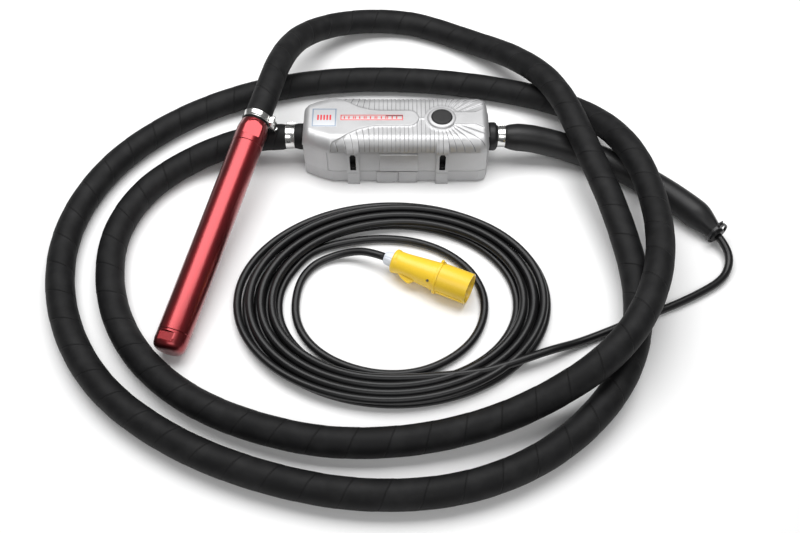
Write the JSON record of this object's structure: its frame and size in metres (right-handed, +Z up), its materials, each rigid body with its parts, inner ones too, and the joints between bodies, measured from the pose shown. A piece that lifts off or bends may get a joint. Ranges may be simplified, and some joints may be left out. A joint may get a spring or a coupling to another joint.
{
  "type": "concrete vibrator",
  "caption": "Electric concrete vibrator: poker head, long protective hose, in-line converter with a push button, grip hose, coiled supply cable and industrial plug.",
  "frame": {"origin": "middle of the flat land under the converter, on the ground", "axes": "+Z up, +X along the converter towards its supply cable, the converter's two long walls face -Y and +Y"},
  "size_m": [0.9875, 0.8982, 0.1109],
  "materials": {
    "cast_aluminium": "cast, softly blasted",
    "base_casting": "cast",
    "gasket_rubber": "matte",
    "bright_steel": "bright",
    "black_button": "satin",
    "seal_rubber": "matte",
    "spring_steel": "bright",
    "switch_plastic": "matte",
    "board_laminate": "matte",
    "brass_posts": "turned",
    "sink_aluminium": "extruded",
    "transistor_black": "matte",
    "capacitor_sleeve": "gloss",
    "terminal_plastic": "matte",
    "spigot_aluminium": "turned",
    "clamp_steel": "polished",
    "plate_label": "satin film",
    "strip_label": "satin film",
    "hose_wrap": "matte cloth-wrapped",
    "grip_hose_rubber": "semi-gloss",
    "lead_rubber": "satin",
    "cable_rubber": "satin",
    "tie_nylon": "satin",
    "gland_white": "satin",
    "plug_yellow": "satin",
    "carrier_plastic": "matte",
    "pin_brass": "plated",
    "red_metal": "glossy metallic",
    "core_steel": "laminated",
    "winding_copper": "enamelled copper",
    "shaft_steel": "ground",
    "bearing_steel": "ground",
    "cage_brass": "machined",
    "screw_steel": "bright"
  },
  "bodies": {
    "body": {"upper_casing": "cast_aluminium", "base_tray": "base_casting", "casing_gasket": "gasket_rubber", "casing_screws": "bright_steel", "nameplate": "plate_label", "decal_strip": "strip_label", "button_seal": "seal_rubber", "button_spring": "spring_steel", "switch_body": "switch_plastic", "converter_board": "board_laminate", "board_posts": "brass_posts", "board_screws": "screw_steel", "heat_sink": "sink_aluminium", "power_transistors": "transistor_black", "capacitors": "capacitor_sleeve", "terminal_blocks": "terminal_plastic", "output_spigot": "spigot_aluminium", "input_spigot": "spigot_aluminium", "output_ear_clamp": "clamp_steel", "input_ear_clamp": "clamp_steel", "main_hose": "hose_wrap", "motor_lead": "lead_rubber", "grip_hose": "grip_hose_rubber", "supply_cable_inner": "cable_rubber", "cable_tie": "tie_nylon", "supply_cable_lead": "cable_rubber", "supply_cable_coil": "cable_rubber", "supply_cable_tail": "cable_rubber", "plug_gland_nut": "gland_white", "plug_gland_seal": "seal_rubber", "plug_cord_clamp": "carrier_plastic", "plug_inner_cable": "lead_rubber", "plug_body": "plug_yellow", "plug_shroud": "plug_yellow", "plug_contact_carrier": "carrier_plastic", "plug_pins": "pin_brass", "plug_screws": "screw_steel", "head_nose_cap": "red_metal", "head_tube": "red_metal", "head_top_adaptor": "red_metal", "head_seal_rings": "seal_rubber", "stator_core": "core_steel", "stator_windings": "winding_copper", "bearing_outer_rings": "bearing_steel", "bearing_circlips": "spring_steel", "head_clamp_band": "clamp_steel", "head_clamp_worm_housing": "clamp_steel", "head_clamp_screw": "clamp_steel"},
    "button": {"button_cap": "black_button", "button_plunger": "switch_plastic"},
    "rotor": {"rotor_core": "core_steel", "rotor_shaft": "shaft_steel", "eccentric_weight": "shaft_steel", "bearing_inner_rings": "bearing_steel"},
    "rollers": {"bearing_rollers": "bearing_steel", "bearing_cages": "cage_brass"}
  },
  "joints": [
    {"name": "button_press", "type": "slide", "parent": "body", "child": "button", "axis": [0, 0, -1], "range_m": [0, 0.003], "stiffness_N_per_m": 600, "springref_m": -0.002, "deforming": ["button_spring"]},
    {"name": "rotor_spin", "type": "hinge", "parent": "body", "child": "rotor", "pos_m": [-0.25893, -0.18908, 0.05153], "axis": [0.2519, 0.9533, 0.1668], "continuous": true},
    {"name": "roller_orbit", "type": "hinge", "parent": "body", "child": "rollers", "pos_m": [-0.25893, -0.18908, 0.05153], "axis": [0.2519, 0.9533, 0.1668], "continuous": true}
  ],
  "couplings": [
    {"joint": "roller_orbit", "follows": "rotor_spin", "ratio": 0.38}
  ]
}
